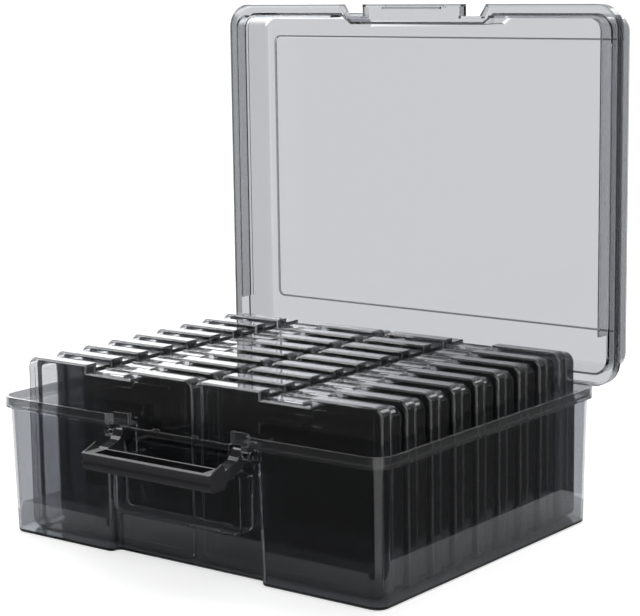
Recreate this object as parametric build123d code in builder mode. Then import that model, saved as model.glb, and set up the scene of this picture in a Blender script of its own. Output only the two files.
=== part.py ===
"""Photo keeper case: tub, hinged lid, swinging handle and eighteen inner photo cases.

Frame: millimetres, the front (handle side) faces -Y, +X is to the right, +Z is up and the
origin is the middle of the tub's underside. Every piece is built in its place in the photo:
lid standing open, handle held out, inner cases down.
"""
import math
import os
from build123d import *

os.makedirs("parts", exist_ok=True)

# ---- inner cases: what the keeper is sized around ---------------------------
case_w = 186.4              # along X
case_h = 149.5              # along Z
case_thick = 31.9           # along Y, closed
case_wall = 1.4
case_split = 11.0           # cover's share of the thickness
tray_inset = 4.0            # tray narrower and lower than the cover, behind its flange
split_gap = 0.1
case_corner = 9.0
case_bevel = 1.6            # round the two faces
inner_corner = 5.0          # chamfer in the corners inside
panel_margin = 8.0          # framed panel in each face
panel_depth = 0.6
latch_w = 48.5             # latch recess in the middle of the top edge
latch_dip = 7.0
latch_tab_w = 30.0
case_rows = 9
row_gap = 0.4
column_gap = 1.0

# ---- tub --------------------------------------------------------------------
wall = 2.2
floor = 2.5
side_clear = 6.4            # cases to the side walls, at the floor
front_clear = 4.6           # first row to the recess wall, at the floor
rear_clear = 0.7            # last row to the rear wall
tub_top = 120.0             # height of the rim
foot_inset = 7.0            # foot of the wall, in from the rim
neck_inset = 4.2            # top of the wall under the rim, in from the rim
foot_round = 2.0
corner_r = 18.0             # rim corner in plan
rim_band = 9.5              # height of the stepped-out rim

# ---- recess in the tub's front, and the bay that stands forward in it ---------
recess_side = 8.6           # recess beyond the handle on each side, at the neck
recess_back = 16.0          # recess wall, back from the rim, at the floor
recess_round, recess_inner_r = 6.0, 3.0
bay_proud = 1.2             # bay's face in front of the rim
bay_side = 0.2              # bay wider than the handle, each side
bay_low = 39.0              # underside of the bay
bay_corner = 8.0
slot_low = 87.0             # above this the bay narrows to pass between the arms
low_edge_drop = 8.0         # top edge of the bay, below the rim
panel_frame, panel_sink = 11.5, 1.0     # sunk panel in the bay's face
nub_x, nub_w, nub_h = 20.5, 6.0, 2.0
lug_back = 4.2              # lugs over the handle arms, back from the rim
lug_w = 15.6
lug_rise = 1.6              # lugs stand above the rim
lug_drop = 8.6              # their underside, below the rim
lug_slant = 5.8             # slanted run from the rim to a lug, along X
lug_return = 4.2

# ---- handle -------------------------------------------------------------------
handle_half = 67.4          # outer faces of its arms
arm_w = 10.0
arm_side_clear = 0.8        # arms to the bay between them
pivot_in, pivot_drop = 5.0, 15.0    # pivot, in from and below the rim
boss_r = 5.2
handle_pin_r = 2.5
pin_clear = 0.08            # radial, all pins
handle_side_clear = 0.7
pin_reach = 5.8
ear_r = 5.0
grip_near, grip_far = 22.0, 42.4    # grip, out from the pivot
grip_top, grip_low = -8.6, -23.6    # grip, below the pivot
grip_wall = 2.2
cheek_rise, cheek_w = 5.8, 1.6      # plates that close the grip's ends
handle_rib_x, handle_rib_w = 23.7, 1.8
heel_gap = 0.3              # arms' heels to the recess wall that stops them

# ---- lid ------------------------------------------------------------------------
lid_side, lid_front_lap, lid_rear_lap = 9.5, 1.5, 4.0     # beyond the tub's rim
lid_gap = 0.5
skirt_h = 9.0
dome_inset, dome_side_inset = 8.0, 10.4
dome_lean = 1.0
dome_round = 6.0
head_clear = 10.3           # over the cases
lid_panel_front, lid_panel_rear, lid_panel_side = 31.0, 41.5, 21.6
lid_panel_h = 1.0
lip_drop, lip_w = 6.0, 2.2
lip_stop = 45.0             # lip ends this far from the rear edge
notch_clear = 0.8           # lid's notches round the lugs
notch_spare = 3.5           # beyond the lugs, at the back of the notch
notch_back, notch_slant = 10.5, 6.5
lip_rear = 20.0
past = 20.0                 # cutters reach past what they cut
jog_out, jog_in = 15.1, 4.0         # slanted jog of the dome, beyond the handle
jog_back = 16.0
catch_half, catch_w, catch_h = 31.5, 2.0, 1.8

# ---- rear hinges -------------------------------------------------------------------
hinge_x = 110.0
hinge_r = 3.6
hinge_clear = 0.6           # barrel to the rim
hinge_drop = 4.6            # axis below the rim
hinge_pin_r = 2.0
barrel_w = 17.2
hinge_ear_w = 6.0
ear_gap = 0.6
hinge_arm = 3.8             # arm's outer face, out from the axis
stop_gap = 0.1
lid_open = 90.0             # opening angle in the photo

# ---- what follows from them ---------------------------------------------------------
case_top = floor + case_h
row_pitch = case_thick + row_gap
latch_from = (case_w - latch_w) / 2
rim_half_x = case_w + column_gap / 2 + side_clear + wall + foot_inset
rim_half_y = (recess_back + 2 * wall + front_clear + rear_clear + foot_inset
              + case_rows * case_thick + (case_rows - 1) * row_gap) / 2
foot_x, foot_y = rim_half_x - foot_inset, rim_half_y - foot_inset
flare = foot_inset - neck_inset
neck_z = tub_top - rim_band
foot_r = corner_r - neck_inset
first_row = -rim_half_y + recess_back + wall + front_clear
recess_half = handle_half + recess_side             # at the neck
recess_wall = -rim_half_y + recess_back - flare     # at the neck
bay_half = handle_half + bay_side
neck_half = handle_half - arm_w - arm_side_clear    # bay between the arms
bay_face = -rim_half_y - bay_proud
low_z = tub_top - low_edge_drop
lug_y = -rim_half_y + lug_back
lug_low, lug_top = tub_top - lug_drop, tub_top + lug_rise
lug_in = neck_half - wall
lug_out = lug_in + lug_w
pivot_y, pivot_z = -rim_half_y + pivot_in, tub_top - pivot_drop
tongue_half = lug_in - notch_clear
notch_half = lug_out + notch_spare
lid_half_x = rim_half_x + lid_side
lid_front, lid_rear = -rim_half_y - lid_front_lap, rim_half_y + lid_rear_lap
part_z = tub_top + lid_gap
step_z = part_z + skirt_h
dome_z = case_top + head_clear + wall
hinge_y, hinge_z = rim_half_y + hinge_r + hinge_clear, tub_top - hinge_drop


def put_box(x0, x1, y0, y1, z0, z1, mode=Mode.ADD):
    with Locations(((x0 + x1) / 2, (y0 + y1) / 2, (z0 + z1) / 2)):
        Box(x1 - x0, y1 - y0, z1 - z0, mode=mode)


def put_slab(half_x, y0, y1, z0, z1, r, mode=Mode.ADD, widen=0.0):
    """Rounded rectangle about X = 0, wider at z1 than at z0 by widen on each side."""
    with BuildSketch(Plane.XY.offset(z0)) as plan:
        with Locations((0, (y0 + y1) / 2)):
            RectangleRounded(2 * half_x, y1 - y0, r)
    draft = -math.degrees(math.atan2(widen, z1 - z0))
    extrude(plan.sketch, amount=z1 - z0, taper=draft, mode=mode)


def put_profile(points, x0, x1, mode=Mode.ADD):
    """Polygon of (y, z) points, from x0 to x1 whichever is less."""
    with BuildSketch(Plane.YZ.offset(min(x0, x1))) as side:
        with BuildLine():
            Polyline(*points, close=True)
        make_face()
    extrude(side.sketch, amount=abs(x1 - x0), mode=mode)


def put_rod(x0, x1, y, z, r, mode=Mode.ADD):
    with BuildSketch(Plane.YZ.offset(min(x0, x1))) as disc:
        with Locations((y, z)):
            Circle(r)
    extrude(disc.sketch, amount=abs(x1 - x0), mode=mode)


def put_plan(points, z0, z1, mode=Mode.ADD):
    """Polygon of (x, y) points, from z0 to z1."""
    with BuildSketch(Plane.XY.offset(z0)) as plan:
        with BuildLine():
            Polyline(*points, close=True)
        make_face()
    extrude(plan.sketch, amount=z1 - z0, mode=mode)


def put_front(half_low, half_high, z0, z_step, z1, y0, y1, r=0.0, mode=Mode.ADD):
    """The bay's outline seen from the front: wide up to z_step, narrow above it."""
    with BuildSketch(Plane.XZ.offset(-y1)) as view:
        with BuildLine():
            Polyline((-half_low, z0), (half_low, z0), (half_low, z_step), (half_high, z_step),
                     (half_high, z1), (-half_high, z1), (-half_high, z_step), (-half_low, z_step), close=True)
        make_face()
        if r:
            fillet(view.vertices().group_by(Axis.Y)[0], r)
    extrude(view.sketch, amount=y1 - y0, mode=mode)


def export(shape, name, place=None):
    solid = (shape if place is None else place * shape).solids()[0]
    solid.label = name
    export_step(solid, f"parts/{name}.step")


# ---- tub ---------------------------------------------------------------------
def footprint(z, grow, inward):
    """The wall's outline with the recess in its front, grown from the foot and then moved inward."""
    half_x, half_y = foot_x + grow, foot_y + grow
    side, back = recess_half + flare - grow, recess_wall + flare - grow
    with BuildSketch(Plane.XY.offset(z)) as outline:
        RectangleRounded(2 * half_x, 2 * half_y, foot_r + grow - flare)
        with Locations((0, back - half_y)):
            Rectangle(2 * side, 2 * half_y, mode=Mode.SUBTRACT)
        corners = outline.vertices().filter_by(lambda v: abs(abs(v.X) - side) < 0.1)
        fillet(corners.group_by(Axis.Y)[0], recess_round)
        corners = outline.vertices().filter_by(lambda v: abs(abs(v.X) - side) < 0.1)
        fillet(corners.group_by(Axis.Y)[-1], recess_inner_r)
        if inward:
            offset(amount=-inward)
    return outline.sketch


def rim_outline(z, inward):
    """The rim's outline: in the middle of the front it slants back to the lugs over the handle arms."""
    x = lug_out + lug_slant
    with BuildSketch(Plane.XY.offset(z)) as outline:
        RectangleRounded(2 * rim_half_x, 2 * rim_half_y, corner_r)
        with BuildLine():
            Polyline((-x, -rim_half_y - 1), (-x, -rim_half_y), (-lug_out, lug_y), (lug_out, lug_y),
                     (x, -rim_half_y), (x, -rim_half_y - 1), close=True)
        make_face(mode=Mode.SUBTRACT)
        if inward:
            offset(amount=-inward)
    return outline.sketch


draft = -math.degrees(math.atan2(flare, neck_z))

with BuildPart() as tub_body:
    extrude(footprint(0, 0, 0), amount=neck_z, taper=draft)
    fillet(tub_body.faces().sort_by(Axis.Z)[0].edges(), foot_round)

with BuildPart() as tub_rim:
    extrude(rim_outline(neck_z, 0), amount=rim_band)
    # the lugs rise a little above the rim
    for s in (-1, 1):
        with BuildSketch(Plane.XZ.offset(-lug_y - wall)) as lug:
            with BuildLine():
                Polyline((s * lug_in, neck_z), (s * lug_in, lug_top), (s * lug_out, lug_top),
                         (s * (lug_out + lug_slant), tub_top), (s * (lug_out + lug_slant), neck_z), close=True)
            make_face()
        extrude(lug.sketch, amount=wall)
    put_box(-recess_half, recess_half, -rim_half_y - 1, recess_wall, neck_z - 1, lug_low, mode=Mode.SUBTRACT)

with BuildPart() as tub_void:
    rise = flare * floor / neck_z
    extrude(footprint(floor, rise, wall), amount=neck_z - floor, taper=draft)
    extrude(footprint(neck_z - 0.01, flare, wall), amount=wall + 0.02)
    extrude(rim_outline(neck_z + wall, wall), amount=rim_band)
    put_box(-recess_half - wall, recess_half + wall, -rim_half_y, recess_wall + wall, neck_z + wall - 1,
            lug_low + wall, mode=Mode.SUBTRACT)
    # inside of the bay, open above and towards the inner cases
    put_front(bay_half - wall, neck_half - wall, bay_low + wall, slot_low - wall, tub_top + rim_band,
              bay_face + wall + panel_sink, first_row - 1, bay_corner - wall)

with BuildPart() as tub:
    add(tub_body.part)
    add(tub_rim.part)
    put_front(bay_half, neck_half, bay_low, slot_low, low_z, bay_face, recess_wall + 1, bay_corner)
    add(tub_void.part, mode=Mode.SUBTRACT)
    # shallow sunk panel in the bay's face
    with BuildSketch(Plane.XZ.offset(-bay_face)) as panel_edge:
        with BuildLine():
            Polyline((-bay_half + 1, bay_low + 1), (bay_half - 1, bay_low + 1), (bay_half - 1, low_z + 1),
                     (-bay_half + 1, low_z + 1), close=True)
        make_face()
    with BuildSketch(Plane.XZ.offset(-bay_face - panel_sink)) as panel_flat:
        half = bay_half - 1 - panel_frame
        with BuildLine():
            Polyline((-half, bay_low + panel_frame), (half, bay_low + panel_frame), (half, low_z + 1),
                     (-half, low_z + 1), close=True)
        make_face()
    loft([panel_edge.sketch, panel_flat.sketch], mode=Mode.SUBTRACT)
    # two small nubs on the bay's top edge
    for x in (-nub_x, nub_x):
        put_box(x - nub_w / 2, x + nub_w / 2, bay_face + panel_sink + 0.2, bay_face + panel_sink + wall - 0.2,
                low_z - 1, low_z + nub_h)
    for s in (-1, 1):
        # each lug turns back at its inner end
        x0, x1 = sorted((s * lug_in, s * (lug_in + wall)))
        put_box(x0, x1, lug_y, lug_y + lug_return, low_z - 1, lug_top)
        # ears for the handle pins, rounded in front
        ear_in, ear_out = s * (handle_half + handle_side_clear), s * (recess_half + 1.0)
        put_rod(ear_in, ear_out, pivot_y, pivot_z, ear_r)
        put_profile([(pivot_y - ear_r, pivot_z), (pivot_y - ear_r, lug_low + 0.5),
                     (recess_wall + 0.5, lug_low + 0.5), (recess_wall + 0.5, pivot_z - ear_r),
                     (pivot_y, pivot_z - ear_r)], ear_in, ear_out)
        put_rod(s * handle_half, s * (handle_half + pin_reach + 0.4), pivot_y, pivot_z,
                handle_pin_r + pin_clear, mode=Mode.SUBTRACT)
    # rear hinge ears on gussets, and between them the stop that the open lid's arms rest on
    for s in (-1, 1):
        stop_z = hinge_z - hinge_arm - stop_gap
        for side in (-1, 1):
            inner = s * hinge_x + side * (barrel_w / 2 + ear_gap)
            outer = inner + side * hinge_ear_w
            put_profile([(rim_half_y - 1.5, tub_top - 1.2), (hinge_y, hinge_z + hinge_pin_r + 2.4),
                         (hinge_y + 4.4, hinge_z + 1.5), (hinge_y + 4.4, hinge_z - 3.0),
                         (hinge_y + 2.0, stop_z - 4.5), (foot_y + 1.5, stop_z - 12.5),
                         (foot_y + 1.5, neck_z + 1.5)], inner, outer)
            put_rod(inner - side, outer + side, hinge_y, hinge_z, hinge_pin_r + pin_clear, mode=Mode.SUBTRACT)
        half = barrel_w / 2 + ear_gap + 1.0
        put_profile([(foot_y + 1.5, stop_z), (hinge_y + 5.0, stop_z), (hinge_y + 3.0, stop_z - 4.0),
                     (foot_y + 1.5, stop_z - 8.0)], s * hinge_x - half, s * hinge_x + half)

export(tub.part, "tub")


# ---- lid, built closed, then swung open ------------------------------------------
def lid_block(g, z_low):
    """The lid's outline, in by g all round: g = 0 gives its outside, g = wall its inside."""
    with BuildPart() as skirt:
        put_slab(lid_half_x - g, lid_front + g, lid_rear - g, z_low, step_z - g, corner_r + 4 - g)
        for s in (-1, 1):
            inner, back = s * (tongue_half - g), lid_front + notch_back + g
            put_plan([(inner, lid_front - 1), (inner, back), (s * (notch_half + g / 2), back),
                      (s * (notch_half + notch_slant + g / 2), lid_front + g / 2),
                      (s * (notch_half + notch_slant + g / 2), lid_front - 1)],
                     z_low - 1, step_z + 1, mode=Mode.SUBTRACT)
    with BuildPart() as dome:
        put_slab(lid_half_x - dome_side_inset - g, lid_front + dome_inset + g, lid_rear - dome_inset - g,
                 step_z - wall, dome_z - g, corner_r - 2 - g, widen=-dome_lean)
        outer, inner = handle_half + jog_out + g / 2, handle_half + jog_in + g / 2
        put_plan([(-outer, lid_front), (-outer, lid_front + dome_inset + g), (-inner, lid_front + jog_back + g),
                  (inner, lid_front + jog_back + g), (outer, lid_front + dome_inset + g), (outer, lid_front)],
                 part_z - 5, dome_z + 5, mode=Mode.SUBTRACT)
        fillet(dome.faces().sort_by(Axis.Z)[-1].edges(), dome_round - g)
    return skirt.part + dome.part


def lid_panel(g, z0, z1, mode):
    put_slab(lid_half_x - lid_panel_side - g, lid_front + lid_panel_front + g, lid_rear - lid_panel_rear - g,
             z0, z1, 6.0 - g, mode=mode)


swing = Location((0, hinge_y, hinge_z)) * Rotation(-lid_open, 0, 0) * Location((0, -hinge_y, -hinge_z))

with BuildPart() as lip:
    # locating lip that drops inside the rim, on the front and both sides
    lip_x, lip_y = lid_half_x - dome_side_inset - wall + 0.4, lid_front + dome_inset + wall - 0.4
    put_slab(lip_x, lip_y, lid_rear - lip_rear, part_z - lip_drop, step_z + 1.5, corner_r - 5)
    put_slab(lip_x - lip_w, lip_y + lip_w, lid_rear - lip_rear - lip_w, part_z - lip_drop - 1, step_z + 3,
             corner_r - 5 - lip_w, mode=Mode.SUBTRACT)
    put_box(-lid_half_x, lid_half_x, lid_rear - lip_stop, lid_rear, part_z - past, step_z + past,
            mode=Mode.SUBTRACT)
    put_box(-recess_half - 10, recess_half + 10, lid_front, 0, part_z - past, step_z + past, mode=Mode.SUBTRACT)

with BuildPart() as lid:
    add(lid_block(0, part_z))
    lid_panel(0, dome_z - 0.5, dome_z + lid_panel_h, Mode.ADD)
    add(lid_block(wall, part_z - 1), mode=Mode.SUBTRACT)
    lid_panel(1.0, dome_z - wall - 0.5, dome_z - wall + lid_panel_h, Mode.SUBTRACT)
    add(lip.part)
    # catch rib on the tongue and the thick strip under it
    put_box(-catch_half, catch_half, lid_front + 1.2, lid_front + 1.2 + catch_w, step_z - 0.5, step_z + catch_h)
    put_box(-catch_half, catch_half, lid_front + 0.8, lid_front + 4.2, part_z, part_z + 2.4)
    # hinge barrels, their arms and pins
    for s in (-1, 1):
        mid = s * hinge_x
        put_rod(mid - barrel_w / 2, mid + barrel_w / 2, hinge_y, hinge_z, hinge_r)
        put_box(mid - barrel_w / 2, mid + barrel_w / 2, lid_rear - wall + 0.1, hinge_y + hinge_arm, hinge_z,
                part_z + 3.5)
        reach = barrel_w / 2 + ear_gap + hinge_ear_w - 0.6
        put_rod(mid - reach, mid + reach, hinge_y, hinge_z, hinge_pin_r)

export(lid.part, "lid", swing)


# ---- handle, standing out level on its heels ------------------------------------
def at(s, t):
    """The point s out from the pivot and t above it, as (y, z)."""
    return (pivot_y - s, pivot_z + t)


with BuildPart() as handle:
    heel_z = -6.0
    heel = recess_wall + flare * (1 - (pivot_z + heel_z) / neck_z) - heel_gap - pivot_y
    for s in (-1, 1):
        inner, outer = s * (handle_half - arm_w), s * handle_half
        put_rod(inner, outer, pivot_y, pivot_z, boss_r)
        # cranked arm: down from the pivot, then out to the grip, with a heel behind
        put_profile([at(1.5, boss_r - 0.3), at(6.3, -1.6), at(8.5, -4.0), at(grip_near + 1, grip_top),
                     at(grip_near + 1, grip_low + 5), at(13, -15.5), at(6, -12.5), at(0, -9.5),
                     at(-heel, heel_z - 2), at(-heel, heel_z), at(-boss_r, 0)], inner, outer)
        put_rod(outer - s, s * (handle_half + pin_reach), pivot_y, pivot_z, handle_pin_r)
    # channel grip, open on top, with a grooved front and a rounded bead below
    put_profile([at(grip_near, grip_top), at(grip_near, grip_low + 2.5), at(grip_near + 2.5, grip_low),
                 at(grip_far - 4.5, grip_low), at(grip_far - 1.8, grip_low + 1.0),
                 at(grip_far - 0.6, grip_low + 3.4), at(grip_far - 0.6, grip_low + 5.4),
                 at(grip_far - 2.2, grip_low + 7.4), at(grip_far - 1.6, grip_top - 4.4),
                 at(grip_far, grip_top - 0.6), at(grip_far - 0.6, grip_top)],
                -handle_half, handle_half)
    floor_t = grip_low + grip_wall
    put_profile([at(grip_near + grip_wall, grip_top + 1), at(grip_near + grip_wall, floor_t + 1.5),
                 at(grip_near + grip_wall + 1.5, floor_t), at(grip_far - 3.8 - grip_wall, floor_t),
                 at(grip_far - 2.2 - grip_wall, floor_t + 3), at(grip_far - 2.2 - grip_wall, grip_top + 1)],
                -handle_half + arm_w, handle_half - arm_w, mode=Mode.SUBTRACT)
    for x in (-handle_rib_x, handle_rib_x):
        put_box(x - handle_rib_w / 2, x + handle_rib_w / 2, pivot_y - grip_far + 3, pivot_y - grip_near - 1,
                pivot_z + floor_t - 0.5, pivot_z + grip_top - 2)
    # cheeks that rise at both ends of the grip
    for s in (-1, 1):
        put_profile([at(grip_far - 0.6, grip_top - 0.5), at(grip_near + 4.5, grip_top + cheek_rise),
                     at(grip_near + 1, grip_top + 1), at(grip_near + 1, grip_top - 0.5)],
                    s * (handle_half - cheek_w), s * handle_half)

export(handle.part, "handle")


# ---- inner cases, built about their own corner ------------------------------------
def case_outline(g, y0, y1, inset):
    """A case's upright outline, in by g all round and by inset at its ends and top, from y0 to y1."""
    with BuildPart() as body:
        with BuildSketch(Plane.XZ.offset(-y1)):
            with Locations((case_w / 2, (case_h - inset) / 2)):
                if g:
                    Rectangle(case_w - 2 * (g + inset), case_h - 2 * g - inset)
                    chamfer(vertices(), inner_corner)
                else:
                    RectangleRounded(case_w - 2 * inset, case_h - inset, case_corner)
            with Locations((latch_from + latch_w / 2, case_h - latch_dip / 2)):
                Rectangle(latch_w + 2 * g, latch_dip + 2 * g, mode=Mode.SUBTRACT)
        extrude(amount=y1 - y0)
    return body.part


def case_half(y0, y1, face_y, inset=0.0):
    """One half of a case: a shallow box whose face is at face_y, y0 or y1."""
    inward = 1 if face_y == y0 else -1
    with BuildPart() as half:
        add(case_outline(0, y0, y1, inset))
        chamfer(half.faces().sort_by(Axis.Y)[0 if inward > 0 else -1].edges(), case_bevel)
        if inward > 0:
            add(case_outline(case_wall, y0 + case_wall, y1 + 1, inset), mode=Mode.SUBTRACT)
        else:
            add(case_outline(case_wall, y0 - 1, y1 - case_wall, inset), mode=Mode.SUBTRACT)
        # shallow framed panel in the face, dipping round the latch
        e, left, right = panel_margin + inset, latch_from, latch_from + latch_w
        with BuildSketch(Plane.XZ.offset(-face_y)):
            with BuildLine():
                Polyline((e, panel_margin), (case_w - e, panel_margin), (case_w - e, case_h - e),
                         (right + 7, case_h - e), (right + 2, case_h - e - 6), (left - 2, case_h - e - 6),
                         (left - 7, case_h - e), (e, case_h - e), close=True)
            make_face()
        extrude(amount=-inward * panel_depth, mode=Mode.SUBTRACT)
    return half.part


tab_x0 = latch_from + (latch_w - latch_tab_w) / 2
tab_x1 = tab_x0 + latch_tab_w
dip_z = case_h - latch_dip

with BuildPart() as cover:
    add(case_half(0, case_split - split_gap / 2, 0))
    # latch tab in the recess, reaching over the tray to a small hook
    put_profile([(4.0, dip_z - 0.5), (4.0, dip_z + 2.0), (case_split + 3.6, dip_z + 2.0),
                 (case_split + 4.2, dip_z + 3.2), (case_split + 5.0, dip_z + 3.2), (case_split + 5.0, dip_z + 0.4),
                 (5.6, dip_z + 0.4), (5.6, dip_z - 0.5)], tab_x0, tab_x1)

with BuildPart() as tray:
    tray_y = case_split + split_gap / 2
    add(case_half(tray_y, case_thick, case_thick, tray_inset))
    # flange that meets the cover all round
    add(case_outline(0, tray_y, tray_y + case_wall, 0))
    add(case_outline(case_wall, tray_y - 1, tray_y + case_wall + 1, tray_inset), mode=Mode.SUBTRACT)
    # catch that the tab snaps over
    put_box(tab_x0 + 5, tab_x1 - 5, case_split + 6.0, case_split + 8.0, dip_z - 0.5, dip_z + 1.6)

with GridLocations(case_w + column_gap, row_pitch, 2, case_rows) as grid:
    spots = [Location((s.position.X - case_w / 2, first_row + s.position.Y + (case_rows - 1) / 2 * row_pitch, floor))
             for s in grid.locations]
spots.sort(key=lambda s: (round(s.position.Y, 3), s.position.X))
for number, spot in enumerate(spots, start=1):
    export(cover.part, f"case_{number:02d}_cover", spot)
    export(tray.part, f"case_{number:02d}_tray", spot)
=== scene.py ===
"""Photo keeper case: finishes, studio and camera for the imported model."""
import math

import bpy
from mathutils import Matrix, Vector

bl_info = {
    "name": "Photo Keeper Case",
    "version": (1, 0, 0),
    "blender": (4, 5, 0),
    "location": "3D View > Sidebar > Keeper",
    "description": "Dresses a smoke-clear photo keeper and sets up its studio",
    "category": "Object",
}

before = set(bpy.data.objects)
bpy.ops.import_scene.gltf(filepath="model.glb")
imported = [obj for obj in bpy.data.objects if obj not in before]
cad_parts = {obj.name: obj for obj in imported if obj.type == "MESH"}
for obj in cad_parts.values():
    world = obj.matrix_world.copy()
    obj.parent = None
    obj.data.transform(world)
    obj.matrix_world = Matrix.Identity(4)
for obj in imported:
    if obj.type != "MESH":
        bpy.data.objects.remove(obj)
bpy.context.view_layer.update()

# ---- finishes: lengths in metres, masks as the pair (0 up to, 1 from) ----------
PLASTIC_IOR = 1.5
BAND_COAT_IOR = 1.7
COAT_ROUGHNESS = 0.5
WAVES, HANDLE_WAVES = 14.0, 30.0        # scale of the faint waviness
WAVE_DETAIL, WAVE_STRENGTH, WAVE_DEPTH = 1.0, 0.02, 0.002
BEVEL_SAMPLES = 4
TURNED = (0.3, 0.8)                     # part of a normal along an axis: a case's faces, for the painted shade on its tops and broad faces
ON_EDGE = (0.5, 0.9)                    # the lid's walls, where shade is painted
LEVEL = (0.85, 0.95)                    # the grip's upper rim, where a highlight is painted
BAND_SOFT = 0.0004
LOW_SHADE_FADE = (0.085, 0.122)              # heights where the cases turn from the painted shade below the tub's rim to pale
PANEL_CORNER, RIM_CORNER = 0.006, 0.022
PANEL_LINE = (0.0004, 0.0009)           # off the panel's outline, over which the painted dark line fades
LID_EDGE = (-0.0012, -0.0007)           # off the lid's outline, below 0 inside it; the painted dark edge starts here
# width and softness of the painted highlight along the grip's upper rim
GRIP_RIM, GRIP_RIM_SOFT, GRIP_TOP_SOFT = 0.0005, 0.0002, 0.0004

# ---- studio: bearings in degrees, 0 along +Y and growing towards -X ------------
PHOTO = (640, 616)                      # pixels
SENSOR_MM = 36.0
CLIP = (0.05, 100.0)
WHITE_BEARINGS, WHITE_SOFT = ((-15.0, 100.0), (-160.0, -108.0)), 6.0
PANEL_BEARINGS, PANEL_SOFT = (36.0, 95.0), 3.0
PANEL_HEIGHTS, PANEL_HEIGHT_SOFT = (0.01, 0.5), 0.02    # vertical part of the ray
FLOOR_HALF, FLOOR_Z = (40.0, 40.0), -0.0002
NEAR_HALF, NEAR_Z = (0.26, 0.22), -0.0001
PAPER_ROUGHNESS = 0.9
LAMP_AIM = (0, 0, 0.1)
TOP_LIGHT = ("top_light", (0.2, 0.4, 2.6), (2.2, 2.2), 20)
EDGE_LIGHTS = (("edge_light_left", (-1.75, -0.2, 2.0)), ("edge_light_rear", (0.5, 2.2, 1.9)))
EDGE_LIGHT_SIZE, EDGE_LIGHT_POWER = (1.6, 0.8), 15
CYCLES = {
    "max_bounces": 24,
    "transmission_bounces": 24,
    "glossy_bounces": 10,
    "transparent_max_bounces": 24,
    "sample_clamp_indirect": 4.0,
    "blur_glossy": 0.3,
}


# ---- shader maths -------------------------------------------------------------
class Wire:
    """A socket that can be used in sums and products."""

    def __init__(self, shader, socket):
        self.shader, self.socket = shader, socket

    def _math(self, operation, *values):
        return self.shader.node("ShaderNodeMath", {"operation": operation}, dict(enumerate(values)))

    def __add__(self, other):
        return self._math("ADD", self, other)

    def __mul__(self, other):
        return self._math("MULTIPLY", self, other)

    def __sub__(self, other):
        return self._math("SUBTRACT", self, other)

    def __rsub__(self, other):
        return self._math("SUBTRACT", other, self)

    def __pow__(self, other):
        return self._math("POWER", self, other)

    __radd__ = __add__
    __rmul__ = __mul__

    def clamp(self):
        return self.shader.node("ShaderNodeClamp", {}, {0: self})

    def __abs__(self):
        return self._math("ABSOLUTE", self)

    def over(self, low):
        """The socket, or low where that is more."""
        return self._math("MAXIMUM", self, low)

    def step(self, low, high):
        """0 below low, 1 above high, smooth between them."""
        return self.shader.node("ShaderNodeMapRange", {"interpolation_type": "SMOOTHSTEP"},
                                {0: self, 1: low, 2: high})


class NodeMaker:
    """A node tree whose nodes all come from one method."""

    def __init__(self, tree):
        self.tree = tree
        tree.nodes.clear()

    def node(self, kind, settings=None, inputs=None, output=0):
        made = self.tree.nodes.new(kind)
        for key, value in (settings or {}).items():
            setattr(made, key, value)
        for key, value in (inputs or {}).items():
            if isinstance(value, Wire):
                self.tree.links.new(value.socket, made.inputs[key])
            else:
                made.inputs[key].default_value = value
        return Wire(self, made.outputs[output]) if made.outputs else None

    def split(self, vector):
        return [self.node("ShaderNodeSeparateXYZ", {}, {0: vector}, output=axis) for axis in range(3)]

    def blend(self, mask, colour, other):
        """colour where the mask is 0, other where it is 1."""
        ends = [end if isinstance(end, Wire) else (*end, 1.0) for end in (colour, other)]
        return self.node("ShaderNodeMix", {"data_type": "RGBA"},
                         {0: mask, 6: ends[0], 7: ends[1]}, output=2)


class Shader(NodeMaker):
    """A material with nodes of its own."""

    def __init__(self, name):
        self.material = bpy.data.materials.new(name)
        self.material.use_nodes = True
        super().__init__(self.material.node_tree)

    def finish(self, surface):
        self.node("ShaderNodeOutputMaterial", {}, {"Surface": surface})
        return self.material


def dress(obj, material):
    """Leave the object with this material alone."""
    obj.data.materials.clear()
    obj.data.materials.append(material)


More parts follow.
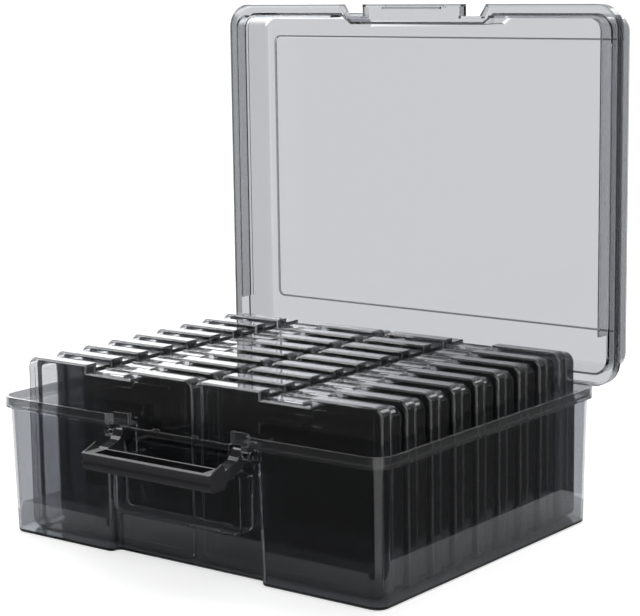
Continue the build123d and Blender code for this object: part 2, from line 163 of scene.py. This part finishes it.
# ---- sizes and colours a user may change -------------------------------------
class KeeperPlastic(bpy.types.PropertyGroup):
    tint: bpy.props.FloatVectorProperty(
        name="Smoke tint", description="Colour that one moulded wall lets through",
        default=(0.63, 0.645, 0.67), size=3, subtype="COLOR", min=0, max=1)
    cover_tint: bpy.props.FloatVectorProperty(
        name="Case cover tint", description="Colour that an inner case's cover and ends let through",
        default=(0.88, 0.89, 0.90), size=3, subtype="COLOR", min=0, max=1)
    # painted shade: the broad back of each tray is made nearly black, standing in for the dark of the
    # stacked cases
    tray_back_shade_tint: bpy.props.FloatVectorProperty(
        name="Case tray tint",
        description="Colour that the broad back of an inner case's tray lets through",
        default=(0.09, 0.092, 0.10), size=3, subtype="COLOR", min=0, max=1)
    # painted shade: the tops of the inner cases get a darker colour
    top_shade_tint: bpy.props.FloatVectorProperty(
        name="Case top tint", description="Colour that the top of an inner case lets through",
        default=(0.35, 0.36, 0.38), size=3, subtype="COLOR", min=0, max=1)
    # painted shade: the inner cases get a darker colour below the tub's rim
    low_shade_tint: bpy.props.FloatVectorProperty(
        name="Deep case tint", description="Colour that an inner case lets through below the tub's rim",
        default=(0.70, 0.71, 0.73), size=3, subtype="COLOR", min=0, max=1)
    haze: bpy.props.FloatProperty(
        name="Haze", description="Soft sheen on the inner cases", default=0.45, min=0, max=1)
    # painted shade: the rim band gets a darker colour than the rest of the tub
    band_shade_tint: bpy.props.FloatVectorProperty(
        name="Rim band tint", description="Colour that the tub's rim band lets through",
        default=(0.42, 0.43, 0.45), size=3, subtype="COLOR", min=0, max=1)
    band_low: bpy.props.FloatProperty(
        name="Rim band", description="Height of the rim band's lower edge",
        default=0.1105, unit="LENGTH")
    # painted shade: the lid's side walls get a darker colour than its panel
    wall_shade_tint: bpy.props.FloatVectorProperty(
        name="Lid wall tint", description="Colour that the lid's side walls let through",
        default=(0.55, 0.56, 0.58), size=3, subtype="COLOR", min=0, max=1)
    # painted shade: a dark line painted along the outline of the lid's panel
    panel_line_shade_tint: bpy.props.FloatVectorProperty(
        name="Panel line tint", description="Colour along the outline of the lid's panel",
        default=(0.16, 0.165, 0.175), size=3, subtype="COLOR", min=0, max=1)
    # painted shade: a dark line along the lid's outer edge
    edge_shade_tint: bpy.props.FloatVectorProperty(
        name="Lid edge tint", description="Colour that the lid's outer edge lets through",
        default=(0.20, 0.205, 0.215), size=3, subtype="COLOR", min=0, max=1)
    rim_half: bpy.props.FloatVectorProperty(
        name="Lid half size", description="Half width and half height of the lid",
        default=(0.2120, 0.1643), size=2, unit="LENGTH")
    rim_middle: bpy.props.FloatProperty(
        name="Lid middle", description="Height of the lid's middle, lid open",
        default=0.2798, unit="LENGTH")
    panel_half: bpy.props.FloatVectorProperty(
        name="Panel half size", description="Half width and half height of the lid's panel",
        default=(0.1904, 0.1280), size=2, unit="LENGTH")
    panel_middle: bpy.props.FloatProperty(
        name="Panel middle", description="Height of the panel's middle, lid open",
        default=0.2851, unit="LENGTH")
    handle_colour: bpy.props.FloatVectorProperty(
        name="Handle colour", description="Colour of the dark moulded handle",
        default=(0.028, 0.028, 0.031), size=3, subtype="COLOR", min=0, max=1)
    # painted highlight: the grip's upper rim and ribs are paler, standing in for the glints along their
    # edges
    grip_highlight_colour: bpy.props.FloatVectorProperty(
        name="Grip rim colour", description="Paler colour of the grip's upper rim and ribs",
        default=(0.42, 0.42, 0.43), size=3, subtype="COLOR", min=0, max=1)
    grip_top: bpy.props.FloatProperty(
        name="Grip top", description="Height of the grip's upper rim", default=0.0964, unit="LENGTH")
    handle_polish: bpy.props.FloatProperty(
        name="Handle polish", description="Roughness of the handle", default=0.06, min=0, max=1)
    edge: bpy.props.FloatProperty(
        name="Edge", description="Radius of the softened edges", default=0.0005, unit="LENGTH")
    handle_edge: bpy.props.FloatProperty(
        name="Handle edge", description="Radius of the handle's softened edges",
        default=0.0003, unit="LENGTH")
    polish: bpy.props.FloatProperty(
        name="Polish", description="Roughness of the moulded faces", default=0.03, min=0, max=1)


class KeeperStudio(bpy.types.PropertyGroup):
    focal_px: bpy.props.FloatProperty(
        name="Focal length", description="Focal length in pixels of the photo", default=1966.0)
    camera_place: bpy.props.FloatVectorProperty(
        name="Camera", description="Camera place", default=(1.0205, -1.3006, 0.4717),
        size=3, subtype="TRANSLATION", unit="LENGTH")
    camera_yaw: bpy.props.FloatProperty(
        name="Yaw", description="Turn to the left from straight on",
        default=math.radians(37.47), subtype="ANGLE")
    camera_pitch: bpy.props.FloatProperty(
        name="Pitch", description="Tilt below level", default=math.radians(9.63), subtype="ANGLE")
    camera_roll: bpy.props.FloatProperty(
        name="Roll", description="Roll of the frame", default=math.radians(0.79), subtype="ANGLE")
    flag_light: bpy.props.FloatProperty(
        name="Dark flags", description="Light that comes from the dark flags",
        default=0.07, min=0, max=1)
    panel_light: bpy.props.FloatProperty(
        name="Panel", description="Extra light of the bright panel behind",
        default=1.6, min=0, max=10)
    # partly painted shade: the floor seen through the tub's walls is a darker copy of the pale floor,
    # without its glow
    near_shade_colour: bpy.props.FloatVectorProperty(
        name="Near floor", description="Colour of the floor as the tub's walls show it",
        default=(0.78, 0.78, 0.79), size=3, subtype="COLOR")
    floor_glow: bpy.props.FloatProperty(
        name="Floor glow", description="Light that the floor gives off", default=0.6, min=0, max=5)
    floor_colour: bpy.props.FloatVectorProperty(
        name="Floor", description="Colour of the pale floor",
        default=(0.86, 0.86, 0.86), size=3, subtype="COLOR")


# ---- finishes ------------------------------------------------------------------
class Plastic(Shader):
    """Moulded plastic: softened edges, a faint waviness and one principled surface."""

    def __init__(self, name, edge, waves=WAVES):
        super().__init__(name)
        self.spot = self.node("ShaderNodeTexCoord", output=3)
        self.x, self.y, self.z = self.split(self.spot)
        self.facing = [abs(part) for part in self.split(self.node("ShaderNodeTexCoord", output=1))]
        noise = self.node("ShaderNodeTexNoise", {}, {
            "Vector": self.spot, "Scale": waves, "Detail": WAVE_DETAIL})
        soft = self.node("ShaderNodeBevel", {"samples": BEVEL_SAMPLES}, {"Radius": edge})
        self.relief = self.node("ShaderNodeBump", {}, {
            "Strength": WAVE_STRENGTH, "Distance": WAVE_DEPTH, "Height": noise, "Normal": soft})

    def mould(self, colour, **sockets):
        """The finished material; sockets are named with underscores for spaces."""
        inputs = {key.replace("_", " "): value for key, value in sockets.items()}
        base = colour if isinstance(colour, Wire) else (*colour, 1.0)
        return self.finish(self.node("ShaderNodeBsdfPrincipled", {}, {
            "Base Color": base, "IOR": PLASTIC_IOR, "Normal": self.relief, **inputs}))


def tub_plastic(p):
    """Smoke-clear, with painted shade that darkens the doubled rim band, which has a soft sheen of its
    own.
    """
    s = Plastic("tub_smoke", p.edge)
    # the rim band, where shade is painted
    band = s.z.step(p.band_low - BAND_SOFT, p.band_low + BAND_SOFT)
    return s.mould(s.blend(band, p.tint, p.band_shade_tint), Roughness=p.polish, Transmission_Weight=1.0,
                   Coat_Weight=band, Coat_Roughness=COAT_ROUGHNESS, Coat_IOR=BAND_COAT_IOR)


def lid_plastic(p):
    """Smoke-clear, with painted shade that darkens the side walls, the outer edge and a line along the
    panel's outline.
    """
    s = Plastic("lid_smoke", p.edge)
    # the side walls, where shade is painted
    wall = (s.facing[0] + s.facing[2]).step(*ON_EDGE)

    def outside(half, middle, rounding):
        """Distance from a rounded outline, below 0 inside it."""
        out_x = (abs(s.x) - half[0] + rounding).over(0.0)
        out_z = (abs(s.z - middle) - half[1] + rounding).over(0.0)
        return (out_x * out_x + out_z * out_z) ** 0.5 - rounding

    # painted shade along the panel's outline
    line = 1.0 - abs(outside(p.panel_half, p.panel_middle, PANEL_CORNER)).step(*PANEL_LINE)
    # painted shade along the lid's outer edge
    edge = outside(p.rim_half, p.rim_middle, RIM_CORNER).step(*LID_EDGE)
    colour = s.blend(edge, s.blend(wall, p.tint, p.wall_shade_tint), p.edge_shade_tint)
    return s.mould(s.blend(line, colour, p.panel_line_shade_tint), Roughness=p.polish, Transmission_Weight=1.0)


def case_plastic(name, p, broad=None):
    """Smoke-clear with pale ends; painted shade darkens the tops, the parts below the tub's rim, and
    the broad faces when a tint is given for them.
    """
    s = Plastic(name, p.edge)
    # painted shade on the cases below the tub's rim
    clear = s.blend(s.z.step(*LOW_SHADE_FADE), p.low_shade_tint, p.cover_tint)
    sides = s.blend(s.facing[1].step(*TURNED), clear, clear if broad is None else broad)
    # painted shade on the tops of the cases
    return s.mould(s.blend(s.facing[2].step(*TURNED), sides, p.top_shade_tint), Roughness=p.polish,
                   Transmission_Weight=1.0, Coat_Weight=p.haze, Coat_Roughness=COAT_ROUGHNESS)


def handle_plastic(p):
    """Dark and glossy, with a painted highlight on the level faces at the grip's top."""
    s = Plastic("handle_dark", p.handle_edge, HANDLE_WAVES)
    low, high = p.grip_top - GRIP_RIM, p.grip_top + GRIP_RIM
    at_top = s.z.step(low - GRIP_RIM_SOFT, low + GRIP_RIM_SOFT) - s.z.step(high, high + GRIP_TOP_SOFT)
    # painted highlight on the grip's upper rim
    rim = s.facing[2].step(*LEVEL) * at_top
    return s.mould(s.blend(rim, p.handle_colour, p.grip_highlight_colour), Roughness=p.handle_polish)


class KEEPER_OT_shell(bpy.types.Operator):
    """Finish the tub and the lid in smoke-clear plastic"""
    bl_idname = "keeper.shell"
    bl_label = "Tub and lid"

    def execute(self, context):
        p = context.scene.keeper_plastic
        dress(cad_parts["tub"], tub_plastic(p))
        dress(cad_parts["lid"], lid_plastic(p))
        return {"FINISHED"}


class KEEPER_OT_cases(bpy.types.Operator):
    """Finish the inner cases in smoke-clear plastic"""
    bl_idname = "keeper.cases"
    bl_label = "Inner cases"

    def execute(self, context):
        p = context.scene.keeper_plastic
        cover = case_plastic("cover_smoke", p)
        # the tray gets painted shade on its broad faces
        tray = case_plastic("tray_smoke", p, p.tray_back_shade_tint)
        for name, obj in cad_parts.items():
            if name.startswith("case_"):
                dress(obj, tray if name.endswith("tray") else cover)
        return {"FINISHED"}


class KEEPER_OT_handle(bpy.types.Operator):
    """Finish the handle in dark glossy plastic"""
    bl_idname = "keeper.handle"
    bl_label = "Handle"

    def execute(self, context):
        p = context.scene.keeper_plastic
        dress(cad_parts["handle"], handle_plastic(p))
        return {"FINISHED"}


# ---- studio ----------------------------------------------------------------------
def lamp(name, place, size, power):
    """A white rectangular light that looks at the keeper."""
    data = bpy.data.lights.new(name, "AREA")
    data.shape, data.size, data.size_y = "RECTANGLE", size[0], size[1]
    data.energy = power
    obj = bpy.data.objects.new(name, data)
    bpy.context.scene.collection.objects.link(obj)
    obj.location = place
    obj.rotation_euler = (Vector(LAMP_AIM) - Vector(place)).to_track_quat("-Z", "Y").to_euler()
    return obj


def paper(name, half, z, colour, glow):
    """A level sheet of paper, staged."""
    x, y = half
    mesh = bpy.data.meshes.new(name)
    mesh.from_pydata([(-x, -y, z), (x, -y, z), (x, y, z), (-x, y, z)], [], [(0, 1, 2, 3)])
    sheet = bpy.data.objects.new(name, mesh)
    bpy.context.scene.collection.objects.link(sheet)
    s = Shader(name + "_paper")
    dress(sheet, s.finish(s.node("ShaderNodeBsdfPrincipled", {}, {
        "Base Color": (*colour, 1.0), "Roughness": PAPER_ROUGHNESS,
        "Emission Color": (1, 1, 1, 1), "Emission Strength": glow})))
    return sheet


def studio_world(p):
    """White surroundings with dark flags at two sides and a bright panel behind, low on the left."""
    world = bpy.data.worlds.new("studio_world")
    world.use_nodes = True
    s = NodeMaker(world.node_tree)
    across, along, height = s.split(s.node("ShaderNodeTexCoord"))
    turn = s.node("ShaderNodeMath", {"operation": "ARCTAN2"}, {0: across * -1.0, 1: along})
    bearing = turn * math.degrees(1)

    def band(value, low, high, soft):
        return value.step(low - soft, low + soft) - value.step(high - soft, high + soft)

    behind, beside = (band(bearing, *span, WHITE_SOFT) for span in WHITE_BEARINGS)
    white = (behind + beside).clamp()
    panel = band(bearing, *PANEL_BEARINGS, PANEL_SOFT) * band(height, *PANEL_HEIGHTS, PANEL_HEIGHT_SOFT)
    light = white * (1.0 - p.flag_light) + p.flag_light + panel * p.panel_light
    # the camera itself sees plain white
    strength = s.node("ShaderNodeMix", {}, {0: s.node("ShaderNodeLightPath"), 2: light, 3: 1.0})
    background = s.node("ShaderNodeBackground", {}, {0: (1, 1, 1, 1), 1: strength})
    s.node("ShaderNodeOutputWorld", {}, {0: background})
    return world


def add_camera(scene, p):
    """The photo's camera, from its place and its turn, tilt and roll."""
    data = bpy.data.cameras.new("camera")
    camera = bpy.data.objects.new("camera", data)
    scene.collection.objects.link(camera)
    scene.camera = camera
    data.sensor_fit, data.sensor_width = "HORIZONTAL", SENSOR_MM
    data.lens = p.focal_px * SENSOR_MM / PHOTO[0]
    data.clip_start, data.clip_end = CLIP
    yaw, pitch, roll = p.camera_yaw, p.camera_pitch, p.camera_roll
    level = math.cos(pitch)
    forward = Vector((-math.sin(yaw) * level, math.cos(yaw) * level, -math.sin(pitch)))
    right = Vector((math.cos(yaw), math.sin(yaw), 0))
    down = forward.cross(right)
    right, down = (right * math.cos(roll) + down * math.sin(roll),
                   down * math.cos(roll) - right * math.sin(roll))
    axes = Matrix((right, -down, -forward)).transposed()
    camera.matrix_world = Matrix.Translation(p.camera_place) @ axes.to_4x4()


class KEEPER_OT_stage(bpy.types.Operator):
    """Set up the pale floor, the soft light and the camera"""
    bl_idname = "keeper.stage"
    bl_label = "Studio"

    def execute(self, context):
        p = context.scene.keeper_studio
        scene = context.scene
        scene.view_settings.view_transform = "Standard"
        for key, value in CYCLES.items():
            setattr(scene.cycles, key, value)

        scene.world = studio_world(p)
        floor = paper("floor", FLOOR_HALF, FLOOR_Z, p.floor_colour, p.floor_glow)
        floor.visible_glossy = floor.visible_transmission = False
        # the paper near the tub, as its walls show it: a darker copy of the floor without its glow,
        # partly painted shade at the tub's foot on top of the lamps' own shading
        near = paper("floor_near", NEAR_HALF, NEAR_Z, p.near_shade_colour, 0.0)
        near.visible_camera = near.visible_diffuse = near.visible_shadow = False
        lamp(*TOP_LIGHT)
        for name, place in EDGE_LIGHTS:
            edge_light = lamp(name, place, EDGE_LIGHT_SIZE, EDGE_LIGHT_POWER)
            edge_light.visible_diffuse = edge_light.visible_transmission = False
        add_camera(scene, p)
        return {"FINISHED"}


class KEEPER_PT_panel(bpy.types.Panel):
    """Lists the steps"""
    bl_label = "Photo keeper"
    bl_idname = "KEEPER_PT_panel"
    bl_space_type = "VIEW_3D"
    bl_region_type = "UI"
    bl_category = "Keeper"

    def draw(self, context):
        for step in STEPS:
            self.layout.operator(step.bl_idname)


STEPS = (KEEPER_OT_shell, KEEPER_OT_cases, KEEPER_OT_handle, KEEPER_OT_stage)
GROUPS = (("keeper_plastic", KeeperPlastic), ("keeper_studio", KeeperStudio))


def register():
    for name, group in GROUPS:
        bpy.utils.register_class(group)
        setattr(bpy.types.Scene, name, bpy.props.PointerProperty(type=group))
    for step in STEPS:
        bpy.utils.register_class(step)
    bpy.utils.register_class(KEEPER_PT_panel)


def unregister():
    bpy.utils.unregister_class(KEEPER_PT_panel)
    for step in reversed(STEPS):
        bpy.utils.unregister_class(step)
    for name, group in reversed(GROUPS):
        delattr(bpy.types.Scene, name)
        bpy.utils.unregister_class(group)


def main():
    register()
    bpy.ops.keeper.shell()
    bpy.ops.keeper.cases()
    bpy.ops.keeper.handle()
    bpy.ops.keeper.stage()


if __name__ == "__main__":
    main()
